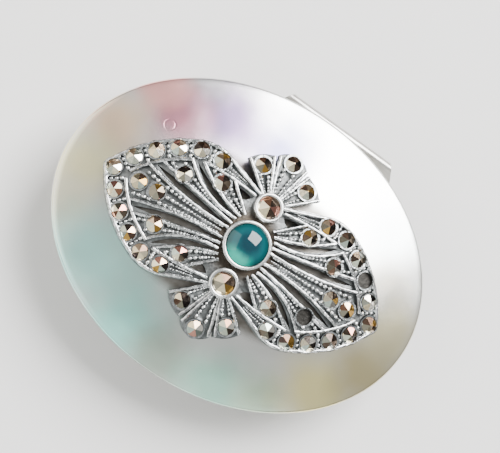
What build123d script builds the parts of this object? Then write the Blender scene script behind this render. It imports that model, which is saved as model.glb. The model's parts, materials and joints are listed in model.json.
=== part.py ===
from build123d import *
import os
from math import atan2, cos, degrees, radians, sin, sqrt

# A dress clip brooch: an oval domed silver plate, a pierced and arched plaque of marcasite-set rays,
# a green stone in a plain collet at its centre, and a sprung clip leaf hinged to the back.
# Millimetres. The brooch lies face up on the outer face of its clip leaf, which is at z = 0:
# +X along the plate's long axis, +Y towards the leaf's thumb lip, +Z out of the face.

# ---------------------------------------------------------------- driving dimensions
# Plate
plate_length = 40.0
plate_width = 31.0
plate_rise = 2.6          # height of the dome's crown over its own edge
plate_sheet = 0.9
plate_back_z = 6.0        # the plate's flat back stands this high over the leaf's outer face
plate_shift = 0.25        # how far the plate's middle lies from the ornament's, along Y
edge_round = 0.4
back_thickness = 0.6
back_recess_inset = 1.2   # width of the plate's edge round the let-in back sheet
solder_gap = 0.02         # room left between parts that are soldered or set together

# Plaque
arch_radius = 52.0        # the plaque is a piece of a sphere of this radius
plaque_floor = 0.45
ridge_height = 0.5
ridge_width = 0.28
ridge_inset = 0.06        # floor left outside the outermost ridges
stand_off = 0.05          # room under the wing tips, where the arch comes down to the plate

# Plaque border: one arc from the wing's tip, a tighter bend, then a straight tail to the collet
border_radius = 12.38
border_half_width = 1.05
border_tip_x = 14.87
border_lean = 27.0        # how far the border's outward direction at the tip is turned from X
border_pitch = 2.22
bend_radius = 3.46
bend_turn = 39.0
tail_end = (1.35, 5.3)

# Marcasites
marcasite_radius = 0.8
marcasite_girdle = 0.28
marcasite_crown = 0.42
marcasite_sides = 6
culet_flat = 0.05
seat_wall = 0.18
seat_depth = 0.3
seat_rise = 0.35          # seat rim over the plaque's floor
axis_stone_x = (12.08, 10.08)
cell_stone_reach = 9.13
cell_stone_turn = 18.3
lens_stone_reach = 6.5
lens_stone_turn = 38.4

# Fans above and below the centre
fan_stone_turn = 35.6
fan_side_reach = 4.34
fan_middle_reach = 5.21
petal_half_turn = 15.4
petal_side_radius = 5.4
petal_middle_half_turn = 17.9
petal_middle_radius = 5.54
petal_middle_crest = 0.62
petal_side_crest = 0.12

# Collets and their stones
green_stone_radius = 2.05
green_stone_girdle = 0.7
green_stone_dome = 0.75
centre_collet_wall = 0.4
centre_collet_rise = 1.75
large_marcasite_radius = 1.08
small_collet_wall = 0.42
small_collet_rise = 1.45
collet_gap = 0.24         # between the middle collet and each small one, in plan
large_marcasite_crown = 0.55
collet_seat_depth = 0.75
collet_ledge = 0.3
collet_web = 0.35         # floor of the plaque left round each collet

# Clip: it is set a little along the plate and turned a little
clip_shift = 2.4
clip_turn = -3.5
leaf_sheet = 0.8
leaf_prong_half = 4.0
leaf_wide_half = 7.3
leaf_lip_half = 6.15
leaf_prong_y = -9.5
leaf_wide_y = 14.9
leaf_lip_y = 16.55
leaf_bend_y = 12.6
lip_height = 3.0
lip_roll_radius = 0.5
prong_gap = 0.25          # prong tips to the back sheet when the clip is shut
prong_notch = 2.4
prong_count = 3
prong_bend = 1.0

# Hinge
hinge_y = 10.2
hinge_z = 2.9
pin_radius = 0.5
pin_running_gap = 0.05
pin_head_radius = 0.85
pin_head_height = 0.4
pin_end_play = 0.1
ear_radius = 1.3
bracket_sheet = 0.6
bracket_half_length = 4.85
bracket_ear = 0.7
bracket_behind = 2.0
bracket_ahead = 2.8
leaf_ear = 0.7
ear_side_gap = 0.15

# Spring
wire_radius = 0.25
coil_gap = 0.1            # between the wire and the hinge pin
coil_turns = 6
coil_pitch = 0.58
upper_leg_angle = 120.0
lower_leg_angle = 248.0
leg_clearance = 0.03

# ---------------------------------------------------------------- worked-out places
half_length = plate_length / 2
half_width = plate_width / 2
oval_ratio = plate_width / plate_length
edge_top_z = plate_back_z + plate_sheet
crown_z = edge_top_z + plate_rise
plate_radius = (half_length**2 + plate_rise**2) / (2 * plate_rise)
plate_centre_z = crown_z - plate_radius
inner_radius = plate_radius - plate_sheet
recess_half_length = half_length - back_recess_inset
ledge_z = plate_back_z + back_thickness
ledge_half_length = sqrt(inner_radius**2 - (ledge_z - plate_centre_z) ** 2)


def plate_z(x, y):
    """Height of the plate's outer surface over a point."""
    return plate_centre_z + sqrt(plate_radius**2 - x**2 - ((y - plate_shift) / oval_ratio) ** 2)


def outline_z(reach):
    """Height of the plate's outer surface over a point on its long axis."""
    return plate_z(reach, plate_shift)


border_centre = Vector(border_tip_x, 0) - Vector(border_radius, 0).rotate(Axis.Z, border_lean)
border_outer = border_radius + border_half_width
border_inner = border_radius - border_half_width
border_step = degrees(border_pitch / border_radius)
border_stones = 4
outer_tip_turn = degrees(atan2(-border_centre.Y, sqrt(border_outer**2 - border_centre.Y**2)))
bend_start = border_lean + border_stones * border_step
bend_centre = border_centre + Vector(border_radius - bend_radius, 0).rotate(Axis.Z, bend_start)
wing_tip_x = border_centre.X + border_outer * cos(radians(outer_tip_turn))

# The arch's centre puts the underside of the wing tips just over the plate
arch_centre_z = plate_z(wing_tip_x, 0) + stand_off - sqrt(arch_radius**2 - wing_tip_x**2)
arch_crown_z = arch_centre_z + arch_radius


def arch_plane(x, y, height):
    """Plane square to the arch at a plan position, at a height over its underside."""
    up = sqrt((arch_radius + height) ** 2 - x**2 - y**2)
    return Plane(origin=(x, y, arch_centre_z + up), z_dir=(x, y, up))


def polar(reach, turn):
    """Plan position from a reach and a turn from +X."""
    return (reach * cos(radians(turn)), reach * sin(radians(turn)))


# Stone places in one quarter of the wings, in plan
def border_place(number):
    """Place of a border stone, counted from the wing's tip."""
    if number <= border_stones:
        spot = border_centre + Vector(border_radius, 0).rotate(Axis.Z, border_lean + number * border_step)
    else:
        spot = bend_centre + Vector(bend_radius, 0).rotate(Axis.Z, bend_start + bend_turn)
    return (spot.X, spot.Y)


centre_collet_radius = green_stone_radius + solder_gap + centre_collet_wall
small_collet_radius = large_marcasite_radius + solder_gap + small_collet_wall
small_collet_y = centre_collet_radius + collet_gap + small_collet_radius

quarter_places = {f"border_{n}": border_place(n) for n in range(1, border_stones + 2)}
quarter_places["cell"] = polar(cell_stone_reach, cell_stone_turn)
quarter_places["lens"] = polar(lens_stone_reach, lens_stone_turn)

# Every small stone's name and place. Two seats have lost their stones.
sides = {"left": -1, "right": 1}
halves = {"upper": 1, "lower": -1}
empty_seats = ("marcasite_right_upper_border_2", "marcasite_right_lower_cell")
seats = {}
for side, sx in sides.items():
    seats[f"marcasite_{side}_tip"] = (sx * border_tip_x, 0.0)
    for count, x in enumerate(axis_stone_x, start=1):
        seats[f"marcasite_{side}_axis_{count}"] = (sx * x, 0.0)
    for half, sy in halves.items():
        for place, (x, y) in quarter_places.items():
            seats[f"marcasite_{side}_{half}_{place}"] = (sx * x, sy * y)
for half, sy in halves.items():
    seats[f"marcasite_{half}_fan_middle"] = (0.0, sy * (small_collet_y + fan_middle_reach))
    for side, sx in sides.items():
        x, y = polar(fan_side_reach, 90 - fan_stone_turn)
        seats[f"marcasite_{half}_fan_{side}"] = (sx * x, sy * (small_collet_y + y))

seat_floor = plaque_floor + seat_rise - seat_depth
seat_radius = marcasite_radius + solder_gap
cup_radius = seat_radius + seat_wall

clip_plane = Plane(
    origin=(clip_shift, plate_shift, 0),
    x_dir=(cos(radians(clip_turn)), sin(radians(clip_turn)), 0),
    z_dir=(0, 0, 1),
)
hinge_point = clip_plane.from_local_coords(Vector(0, hinge_y, hinge_z))
# Side views of the clip: local x along the leaf, local y up, drawn at a station across the clip
side_plane = Plane(origin=clip_plane.origin, x_dir=clip_plane.y_dir, z_dir=clip_plane.x_dir)

os.makedirs("parts", exist_ok=True)


def keep(part, name):
    """Label one finished sub-part and write it."""
    part.label = name
    export_step(part, f"parts/{name}.step")


# ---------------------------------------------------------------- plate
with BuildPart() as plate_mould:  # the plate's outer form as a solid, for trimming what stands on it
    with BuildSketch(Plane.XZ):
        with BuildLine():
            ThreePointArc(
                (0, crown_z), (half_length / 2, outline_z(half_length / 2)), (half_length, edge_top_z)
            )
            Line((half_length, edge_top_z), (half_length, plate_back_z))
            Line((half_length, plate_back_z), (0, plate_back_z))
            Line((0, plate_back_z), (0, crown_z))
        make_face()
    revolve(axis=Axis.Z)
    scale(by=(1, oval_ratio, 1))

with BuildPart() as dome_plate:
    with BuildSketch(Plane.XZ) as plate_profile:
        with BuildLine():
            ThreePointArc(
                (0, crown_z), (half_length / 2, outline_z(half_length / 2)), (half_length, edge_top_z)
            )
            Line((half_length, edge_top_z), (half_length, plate_back_z))
            Line((half_length, plate_back_z), (recess_half_length, plate_back_z))
            Line((recess_half_length, plate_back_z), (recess_half_length, ledge_z))
            Line((recess_half_length, ledge_z), (ledge_half_length, ledge_z))
            ThreePointArc(
                (ledge_half_length, ledge_z),
                (
                    ledge_half_length / 2,
                    plate_centre_z + sqrt(inner_radius**2 - (ledge_half_length / 2) ** 2),
                ),
                (0, crown_z - plate_sheet),
            )
            Line((0, crown_z - plate_sheet), (0, crown_z))
        make_face()
        fillet(plate_profile.vertices().group_by(Axis.X)[-1], radius=edge_round)
    revolve(axis=Axis.Z)
    scale(by=(1, oval_ratio, 1))
keep(Pos(0, plate_shift) * dome_plate.part, "dome_plate")

with BuildPart() as back_sheet:
    with BuildSketch(Plane.XY.offset(plate_back_z)), Locations((0, plate_shift)):
        Ellipse(recess_half_length - solder_gap, recess_half_length * oval_ratio - solder_gap)
    extrude(amount=back_thickness - solder_gap)
keep(back_sheet.part, "back_sheet")

# ---------------------------------------------------------------- plaque
# Openings of one quarter of the wings: start, end, and a point on the outer and on the inner side
openings = (
    ((3.05, 0.86), (11.5, 2.4), (7.6, 1.86), (7.6, 1.14)),
    ((2.7, 2.02), (8.15, 4.64), (5.75, 3.4), (5.6, 2.66)),
    ((1.92, 4.36), (4.0, 4.52), (2.95, 4.62), (2.5, 3.82)),
)
# Ridges of one quarter of the wings: start, a point on the way, end
ridges = (
    ((7.75, 5.0), (5.2, 5.02), (1.7, 4.7)),
    ((1.9, 2.8), (2.95, 3.76), (4.2, 4.9)),
    ((2.3, 2.22), (5.5, 3.46), (7.75, 5.0)),
    ((2.6, 1.72), (5.9, 2.5), (8.85, 4.65)),
    ((2.7, 1.18), (7.15, 2.02), (11.2, 2.98)),
    ((2.8, 0.58), (7.35, 0.9), (12.15, 2.0)),
)


def petal(middle_turn, half_turn, radius, crest):
    """One petal of a fan: a sector about the small collet, with a bulging outer edge."""
    with BuildSketch() as outline:
        with BuildLine():
            low = polar(radius, middle_turn - half_turn)
            high = polar(radius, middle_turn + half_turn)
            ThreePointArc(low, polar(radius + crest, middle_turn), high)
            Line(high, (0, 0))
            Line((0, 0), low)
        make_face()
    return outline.sketch


with BuildSketch() as fan_outline:
    add(petal(90, petal_middle_half_turn, petal_middle_radius, petal_middle_crest))
    for turn in (90 - fan_stone_turn, 90 + fan_stone_turn):
        add(petal(turn, petal_half_turn, petal_side_radius, petal_side_crest))

with BuildSketch() as plaque_outline:
    with BuildLine():
        CenterArc(border_centre, border_outer, outer_tip_turn, bend_start - outer_tip_turn)
        bend = CenterArc(bend_centre, bend_radius + border_half_width, bend_start, bend_turn)
        Line(bend @ 1, tail_end)
        Line(tail_end, (0, tail_end[1]))
        Line((0, tail_end[1]), (0, 0))
        Line((0, 0), (wing_tip_x, 0))
    make_face()
    for start, end, outer, inner in openings:
        with BuildLine():
            ThreePointArc(start, outer, end)
            ThreePointArc(end, inner, start)
        make_face(mode=Mode.SUBTRACT)
    mirror(about=Plane.XZ)
    mirror(about=Plane.YZ)
    with Locations((0, small_collet_y)):
        add(fan_outline.sketch)
        Circle(small_collet_radius + collet_web)
    with Locations((0, -small_collet_y)):
        add(fan_outline.sketch, rotation=180)
        Circle(small_collet_radius + collet_web)
    Circle(centre_collet_radius + collet_web)

arch_base_z = arch_centre_z + sqrt(arch_radius**2 - (wing_tip_x + 1) ** 2) - 1
arch_span = arch_crown_z - arch_base_z + 2

with BuildPart() as plaque_ground:
    with BuildSketch(Plane.XY.offset(arch_base_z)):
        add(plaque_outline.sketch)
    extrude(amount=arch_span)
    with Locations((0, 0, arch_centre_z)):
        Sphere(arch_radius + plaque_floor, mode=Mode.INTERSECT)
        Sphere(arch_radius, mode=Mode.SUBTRACT)

with BuildSketch() as ridge_plan:
    ridge_line = border_half_width - ridge_inset - ridge_width / 2
    with BuildLine():
        CenterArc(
            border_centre, border_radius + ridge_line, outer_tip_turn, bend_start - outer_tip_turn
        )
        rim = CenterArc(bend_centre, bend_radius + ridge_line, bend_start, bend_turn)
        Line(rim @ 1, (tail_end[0], tail_end[1] - ridge_inset - ridge_width / 2))
    trace(line_width=ridge_width)
    with BuildLine():
        CenterArc(border_centre, border_inner, border_lean + border_step / 2, 3.2 * border_step)
    trace(line_width=ridge_width)
    for start, way, end in ridges:
        with BuildLine():
            ThreePointArc(start, way, end)
        trace(line_width=ridge_width)
    mirror(about=Plane.XZ)
    mirror(about=Plane.YZ)
    for sy in halves.values():
        with Locations((0, sy * small_collet_y)):
            for turn, half_turn, radius in (
                (0, petal_middle_half_turn, petal_middle_radius),
                (fan_stone_turn, petal_half_turn, petal_side_radius),
                (-fan_stone_turn, petal_half_turn, petal_side_radius),
            ):
                inset_turn = degrees((ridge_inset + ridge_width / 2) / radius)
                for edge in (-1, 1):
                    lean = sy * 90 + turn + edge * (half_turn - inset_turn)
                    with Locations(polar((small_collet_radius + radius) / 2, lean)):
                        Rectangle(radius - small_collet_radius, ridge_width, rotation=lean)

with BuildPart() as plaque_ridges:
    with BuildSketch(Plane.XY.offset(arch_base_z)):
        add(ridge_plan.sketch)
    extrude(amount=arch_span)
    with Locations((0, 0, arch_centre_z)):
        Sphere(arch_radius + plaque_floor + ridge_height, mode=Mode.INTERSECT)
        Sphere(arch_radius + plaque_floor / 2, mode=Mode.SUBTRACT)

seat_planes = [arch_plane(x, y, plaque_floor / 2) for x, y in seats.values()]
cut_planes = [arch_plane(x, y, seat_floor) for x, y in seats.values()]
centre_plane = arch_plane(0, 0, 0)
small_planes = {half: arch_plane(0, sy * small_collet_y, 0) for half, sy in halves.items()}
upward = (Align.CENTER, Align.CENTER, Align.MIN)

with BuildPart() as openwork_plaque:
    add(plaque_ground.part)
    add(plaque_ridges.part)
    with Locations(*seat_planes):
        Cylinder(cup_radius, plaque_floor / 2 + seat_rise, align=upward)
    with Locations(*cut_planes):
        Cylinder(seat_radius, ridge_height + plaque_floor, align=upward, mode=Mode.SUBTRACT)
    with Locations(centre_plane):
        Cylinder(centre_collet_radius + solder_gap, arch_span, mode=Mode.SUBTRACT)
    with Locations(*small_planes.values()):
        Cylinder(small_collet_radius + solder_gap, arch_span, mode=Mode.SUBTRACT)
keep(openwork_plaque.part, "openwork_plaque")

# ---------------------------------------------------------------- small stones
for name, (x, y) in seats.items():
    if name in empty_seats:
        continue
    base = arch_plane(x, y, seat_floor + solder_gap)
    with BuildPart() as marcasite:
        with BuildSketch(base):
            Circle(marcasite_radius)
        extrude(amount=marcasite_girdle)
        with BuildSketch(base.offset(marcasite_girdle)):
            RegularPolygon(marcasite_radius, marcasite_sides)
        with BuildSketch(base.offset(marcasite_girdle + marcasite_crown)):
            RegularPolygon(culet_flat, marcasite_sides)
        loft()
    keep(marcasite.part, name)

# ---------------------------------------------------------------- collets and their stones
# Each collet is a tube that stands on the plate and comes up through the plaque
post_drop = arch_crown_z - edge_top_z


def draw_collet(plane, radius, wall, rise):
    """Model one collet about its axis: wall, ledge, stone seat and a foot that meets the plate."""
    with Locations(plane.offset(-post_drop)):
        Cylinder(radius, post_drop + rise, align=upward)
    with Locations(plane.offset(rise)):
        CounterBoreHole(radius - wall - collet_ledge, radius - wall, collet_seat_depth)


with BuildPart() as centre_collet:
    draw_collet(centre_plane, centre_collet_radius, centre_collet_wall, centre_collet_rise)
    add(Pos(0, plate_shift) * plate_mould.part, mode=Mode.SUBTRACT)
keep(centre_collet.part, "centre_collet")

for half, plane in small_planes.items():
    with BuildPart() as small_collet:
        draw_collet(plane, small_collet_radius, small_collet_wall, small_collet_rise)
        add(Pos(0, plate_shift) * plate_mould.part, mode=Mode.SUBTRACT)
    keep(small_collet.part, f"{half}_collet")

for half, plane in small_planes.items():
    base = plane.offset(small_collet_rise - collet_seat_depth + solder_gap)
    with BuildPart() as large_marcasite:
        with BuildSketch(base):
            Circle(large_marcasite_radius)
        extrude(amount=collet_seat_depth / 2)
        with BuildSketch(base.offset(collet_seat_depth / 2)):
            RegularPolygon(large_marcasite_radius, marcasite_sides)
        with BuildSketch(base.offset(collet_seat_depth / 2 + large_marcasite_crown)):
            RegularPolygon(culet_flat, marcasite_sides)
        loft()
    keep(large_marcasite.part, f"{half}_large_marcasite")

stone_base_z = arch_crown_z + centre_collet_rise - collet_seat_depth + solder_gap
stone_edge_z = stone_base_z + green_stone_girdle
dome_radius = (green_stone_radius**2 + green_stone_dome**2) / (2 * green_stone_dome)
dome_centre_z = stone_edge_z + green_stone_dome - dome_radius
stone_middle_z = dome_centre_z + sqrt(dome_radius**2 - (green_stone_radius / 2) ** 2)
with BuildPart() as green_stone:
    with BuildSketch(Plane.XZ):
        with BuildLine():
            Line((0, stone_base_z), (green_stone_radius, stone_base_z))
            Line((green_stone_radius, stone_base_z), (green_stone_radius, stone_edge_z))
            ThreePointArc(
                (green_stone_radius, stone_edge_z),
                (green_stone_radius / 2, stone_middle_z),
                (0, stone_edge_z + green_stone_dome),
            )
            Line((0, stone_edge_z + green_stone_dome), (0, stone_base_z))
        make_face()
    revolve(axis=Axis.Z)
keep(green_stone.part, "green_stone")

# ---------------------------------------------------------------- clip leaf
leaf_middle_z = leaf_sheet / 2
prong_line_y = leaf_prong_y + leaf_sheet / 2
prong_top_z = plate_back_z - prong_gap
roll_centre = (leaf_lip_y - lip_roll_radius, lip_height - lip_roll_radius)

with BuildPart() as clip_leaf:
    with BuildSketch(side_plane) as leaf_side:
        with BuildLine():
            FilletPolyline(
                (prong_line_y, prong_top_z),
                (prong_line_y, leaf_middle_z),
                (leaf_bend_y, leaf_middle_z),
                roll_centre,
                radius=prong_bend,
            )
        trace(line_width=leaf_sheet)
        with Locations(roll_centre):
            Circle(lip_roll_radius)
    extrude(amount=leaf_wide_half, both=True)
    with BuildSketch(clip_plane):
        Polygon(
            (-leaf_prong_half, leaf_prong_y),
            (leaf_prong_half, leaf_prong_y),
            (leaf_wide_half, leaf_wide_y),
            (leaf_lip_half, leaf_lip_y),
            (-leaf_lip_half, leaf_lip_y),
            (-leaf_wide_half, leaf_wide_y),
            align=None,
        )
    extrude(amount=plate_back_z, mode=Mode.INTERSECT)
    # Teeth along the turned-up end
    tooth_pitch = 2 * leaf_prong_half / prong_count
    with BuildSketch(Plane(clip_plane.origin, x_dir=clip_plane.x_dir, z_dir=-clip_plane.y_dir)):
        for number in range(prong_count + 1):
            middle = -leaf_prong_half + number * tooth_pitch
            with BuildLine():
                Polyline(
                    (middle - tooth_pitch / 2, prong_top_z),
                    (middle, prong_top_z - prong_notch),
                    (middle + tooth_pitch / 2, prong_top_z),
                    (middle + tooth_pitch / 2, prong_top_z + leaf_sheet),
                    (middle - tooth_pitch / 2, prong_top_z + leaf_sheet),
                    close=True,
                )
            make_face()
    extrude(amount=-leaf_prong_y + leaf_sheet, mode=Mode.SUBTRACT)
    # Ears round the hinge pin
    for side in (-1, 1):
        inner_face = bracket_half_length + ear_side_gap
        with BuildSketch(side_plane.offset(side * (inner_face + leaf_ear / 2))):
            with Locations((hinge_y, hinge_z)):
                Circle(ear_radius)
            with Locations((hinge_y, (hinge_z + leaf_middle_z) / 2)):
                Rectangle(2 * ear_radius, hinge_z - leaf_middle_z)
            with Locations((hinge_y, hinge_z)):
                Circle(pin_radius + pin_running_gap, mode=Mode.SUBTRACT)
        extrude(amount=leaf_ear / 2, both=True)
keep(clip_leaf.part, "clip_leaf")

# ---------------------------------------------------------------- hinge
base_middle_y = hinge_y + (bracket_ahead - bracket_behind) / 2
with BuildPart() as hinge_bracket:
    with BuildSketch(clip_plane.offset(plate_back_z)):
        with Locations((0, base_middle_y)):
            Rectangle(2 * bracket_half_length, bracket_ahead + bracket_behind)
    extrude(amount=-bracket_sheet)
    for side in (-1, 1):
        with BuildSketch(side_plane.offset(side * (bracket_half_length - bracket_ear / 2))):
            with Locations((hinge_y, hinge_z)):
                Circle(ear_radius)
            with Locations((hinge_y, (hinge_z + plate_back_z) / 2)):
                Rectangle(2 * ear_radius, plate_back_z - hinge_z)
            with Locations((hinge_y, hinge_z)):
                Circle(pin_radius + solder_gap / 2, mode=Mode.SUBTRACT)
        extrude(amount=bracket_ear / 2, both=True)
keep(hinge_bracket.part, "hinge_bracket")

pin_half_length = bracket_half_length + ear_side_gap + leaf_ear + pin_end_play
with BuildPart() as hinge_pin:
    with BuildSketch(side_plane):
        with Locations((hinge_y, hinge_z)):
            Circle(pin_radius)
    extrude(amount=pin_half_length, both=True)
    for side in (-1, 1):
        with BuildSketch(side_plane.offset(side * (pin_half_length + pin_head_height / 2))):
            with Locations((hinge_y, hinge_z)):
                Circle(pin_head_radius)
        extrude(amount=pin_head_height / 2, both=True)
keep(hinge_pin.part, "hinge_pin")

# ---------------------------------------------------------------- spring
coil_radius = pin_radius + coil_gap + wire_radius
sweep_turn = coil_turns + (lower_leg_angle - upper_leg_angle) / 360
coil_length = sweep_turn * coil_pitch
upper_leg_z = plate_back_z - bracket_sheet - wire_radius - leg_clearance
lower_leg_z = leaf_sheet + wire_radius + leg_clearance
coil_across = clip_plane.x_dir
coil_start = upper_leg_angle
coil_plane = Plane(
    origin=hinge_point - coil_across * (coil_length / 2),
    x_dir=clip_plane.y_dir * cos(radians(coil_start)) + Vector(0, 0, sin(radians(coil_start))),
    z_dir=coil_across,
)

coil = coil_plane * Helix(pitch=coil_pitch, height=coil_length, radius=coil_radius)

with BuildPart() as clip_spring:
    with BuildLine() as spring_path:
        add(coil)
        upper_run = (upper_leg_z - (coil @ 0).Z) / -(coil % 0).Z
        lower_run = (lower_leg_z - (coil @ 1).Z) / (coil % 1).Z
        Line(coil @ 0 - (coil % 0) * upper_run, coil @ 0)
        Line(coil @ 1, coil @ 1 + (coil % 1) * lower_run)
    with BuildSketch(Plane(origin=spring_path.wire() @ 0, z_dir=spring_path.wire() % 0)):
        Circle(wire_radius)
    sweep(path=spring_path.wire())
keep(clip_spring.part, "clip_spring")
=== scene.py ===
"""The looks of a dress clip brooch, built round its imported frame.

An oval domed silver plate carries an arched, pierced plaque of marcasite-set rays with a green stone in
a plain collet at its centre, and a sprung clip leaf is hinged to its back. Every length is in metres, in
the frame's own axes: +X along the plate, +Y towards the leaf's thumb lip, +Z out of the face.
"""

import json
import logging
import math
import random
from collections.abc import Iterable, Sequence
from dataclasses import dataclass, field
from enum import Enum

import bpy
from mathutils import Matrix, Vector

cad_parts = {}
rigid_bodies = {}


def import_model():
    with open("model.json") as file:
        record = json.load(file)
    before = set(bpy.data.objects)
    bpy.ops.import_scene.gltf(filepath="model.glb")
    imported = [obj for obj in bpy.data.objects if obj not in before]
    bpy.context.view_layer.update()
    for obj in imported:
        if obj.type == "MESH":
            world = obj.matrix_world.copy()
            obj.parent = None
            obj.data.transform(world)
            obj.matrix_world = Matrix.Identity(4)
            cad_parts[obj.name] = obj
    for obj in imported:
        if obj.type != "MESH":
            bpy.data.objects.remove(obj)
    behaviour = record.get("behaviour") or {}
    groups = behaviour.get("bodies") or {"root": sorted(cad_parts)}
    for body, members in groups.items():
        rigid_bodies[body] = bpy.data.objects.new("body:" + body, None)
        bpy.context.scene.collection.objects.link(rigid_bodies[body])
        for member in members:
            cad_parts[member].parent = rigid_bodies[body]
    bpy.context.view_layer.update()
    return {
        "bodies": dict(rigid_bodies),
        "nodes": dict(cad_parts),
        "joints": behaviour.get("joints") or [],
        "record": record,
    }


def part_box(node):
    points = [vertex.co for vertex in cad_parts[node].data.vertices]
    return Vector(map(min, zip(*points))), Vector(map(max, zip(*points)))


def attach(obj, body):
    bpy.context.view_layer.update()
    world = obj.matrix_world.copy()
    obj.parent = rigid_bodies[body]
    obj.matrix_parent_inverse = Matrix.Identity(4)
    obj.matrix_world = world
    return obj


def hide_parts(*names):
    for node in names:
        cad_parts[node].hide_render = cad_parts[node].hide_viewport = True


LOG = logging.getLogger("brooch")
MM = 1e-3
POLE = 0.01 * MM  # radius of the tiny ring that stands for a pole until it is merged
MERGE = 1e-7  # vertices nearer than this are one
SPIN_SIGN = -1  # the spin operator turns clockwise about +Z
Colour = tuple[float, float, float]
Spot = tuple[float, float]
Piece = bpy.types.Object
Material = bpy.types.Material
Socket = bpy.types.NodeSocket


class Body(Enum):
    """The frame's bodies that a piece can ride on."""

    BROOCH = "brooch"
    LEAF = "clip_leaf"


class Slot(Enum):
    """The record's material slots."""

    SILVER = "polished_silver"
    COLLET = "collet_silver"
    OXIDISED = "oxidised_silver"
    MARCASITE = "marcasite"
    GREEN = "green_agate"
    STEEL = "spring_steel"


# ------------------------------------------------------------------ work at the bench


def put_down() -> None:
    """Leave edit mode and deselect everything."""
    if bpy.context.object is not None and bpy.context.object.mode != "OBJECT":
        bpy.ops.object.mode_set(mode="OBJECT")
    bpy.ops.object.select_all(action="DESELECT")


def take(piece: Piece) -> None:
    """Select one piece alone and make it active.

    Args:
        piece: The piece to work on.
    """
    put_down()
    piece.select_set(True)
    bpy.context.view_layer.objects.active = piece


def open_up(piece: Piece, select: bool = True) -> None:
    """Take a piece into edit mode.

    Args:
        piece: The piece to edit.
        select: Whether all of its mesh is selected, or none of it.
    """
    take(piece)
    bpy.ops.object.mode_set(mode="EDIT")
    bpy.ops.mesh.select_all(action="SELECT" if select else "DESELECT")


def close_up(name: str | None = None) -> Piece:
    """Leave edit mode and, if asked, name the active piece.

    Args:
        name: The name for the piece and its mesh.

    Returns:
        The active piece.
    """
    bpy.ops.object.mode_set(mode="OBJECT")
    piece = bpy.context.object
    if name is not None:
        piece.name = name
        piece.data.name = name
    return piece


def mark_vertices(piece: Piece, numbers: Iterable[int]) -> None:
    """Open a piece with only some vertices selected.

    Args:
        piece: The piece to edit.
        numbers: Indices of the vertices to select.
    """
    open_up(piece, select=False)
    bpy.ops.mesh.select_mode(type="VERT")
    bpy.ops.object.mode_set(mode="OBJECT")
    for number in numbers:
        piece.data.vertices[number].select = True
    bpy.ops.object.mode_set(mode="EDIT")


def close_seams(piece: Piece) -> None:
    """Merge doubles, fill open rims and face everything outwards.

    Args:
        piece: The piece to mend.
    """
    open_up(piece)
    bpy.ops.mesh.remove_doubles(threshold=MERGE)
    bpy.ops.mesh.fill_holes(sides=0)
    bpy.ops.mesh.normals_make_consistent(inside=False)
    close_up()


def smooth(piece: Piece, degrees: float = 40.0) -> None:
    """Shade a piece smooth, except across edges sharper than some degrees."""
    take(piece)
    bpy.ops.object.shade_smooth_by_angle(angle=math.radians(degrees))


def soften(piece: Piece, width: float, segments: int = 2, degrees: float = 35.0) -> None:
    """Round a piece's sharp edges with an applied bevel.

    Args:
        piece: The piece to finish.
        width: The bevel's width.
        segments: Steps across the bevel.
        degrees: Only edges sharper than this are rounded.
    """
    take(piece)
    bevel = piece.modifiers.new("edge", "BEVEL")
    bevel.width = width
    bevel.segments = segments
    bevel.limit_method = "ANGLE"
    bevel.angle_limit = math.radians(degrees)
    bevel.use_clamp_overlap = True
    bpy.ops.object.modifier_apply(modifier=bevel.name)


def copy_of(piece: Piece, place: Matrix, name: str = "copy") -> Piece:
    """Copy a piece, with a mesh of its own, to another place.

    Args:
        piece: The piece to copy.
        place: The transform baked into the copy's mesh.
        name: The copy's name.

    Returns:
        The copy.
    """
    twin = piece.copy()
    twin.data = piece.data.copy()
    twin.name = name
    twin.data.transform(place)
    if place.determinant() < 0:
        twin.data.flip_normals()
    bpy.context.scene.collection.objects.link(twin)
    return twin


def join(pieces: Sequence[Piece], name: str) -> Piece:
    """Join pieces into one.

    Args:
        pieces: The pieces, the first of which takes in the others.
        name: The joined piece's name.

    Returns:
        The joined piece.
    """
    take(pieces[0])
    for piece in pieces[1:]:
        piece.select_set(True)
    bpy.ops.object.join()
    joined = bpy.context.object
    joined.name = name
    joined.data.name = name
    return joined


def open_circle(
    sides: int, radius: float, place: Sequence[float], turn: Sequence[float] = (0, 0, 0)
) -> Piece:
    """Draw a circle and open it with everything selected.

    Args:
        sides: Its sides.
        radius: Its radius.
        place: Its middle.
        turn: Its turns about X, Y and Z.

    Returns:
        The circle, in edit mode.
    """
    put_down()
    bpy.ops.mesh.primitive_circle_add(vertices=sides, radius=radius, location=place, rotation=turn)
    bpy.ops.object.transform_apply()
    circle = bpy.context.object
    open_up(circle)
    return circle


def turned(name: str, profile: Sequence[tuple[float, float]], segments: int) -> Piece:
    """Turn a closed ring or a capped form about Z, as on a lathe, from a circle extruded ring by ring.

    Args:
        name: The piece's name.
        profile: Radius and height of each ring. A radius of zero at an end is a closed pole.
        segments: Sides of each ring.

    Returns:
        The turned piece.
    """
    rings = [(max(radius, POLE), height) for radius, height in profile]
    open_circle(segments, rings[0][0], (0, 0, rings[0][1]))
    for (radius, height), (wider, higher) in zip(rings, rings[1:]):
        bpy.ops.mesh.extrude_region_move(TRANSFORM_OT_translate={"value": (0, 0, higher - height)})
        share = wider / radius
        bpy.ops.transform.resize(value=(share, share, 1), center_override=(0, 0, higher))
    piece = close_up(name)
    count = len(piece.data.vertices)
    if profile[0][0] > 0:
        mark_vertices(piece, [*range(segments), *range(count - segments, count)])
        bpy.ops.mesh.bridge_edge_loops()
        close_up()
    else:
        for first in (count - segments, 0):
            mark_vertices(piece, range(first, first + segments))
            bpy.ops.mesh.merge(type="CENTER")
            close_up()
    close_seams(piece)
    return piece


# ------------------------------------------------------------------ wiring materials


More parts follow.
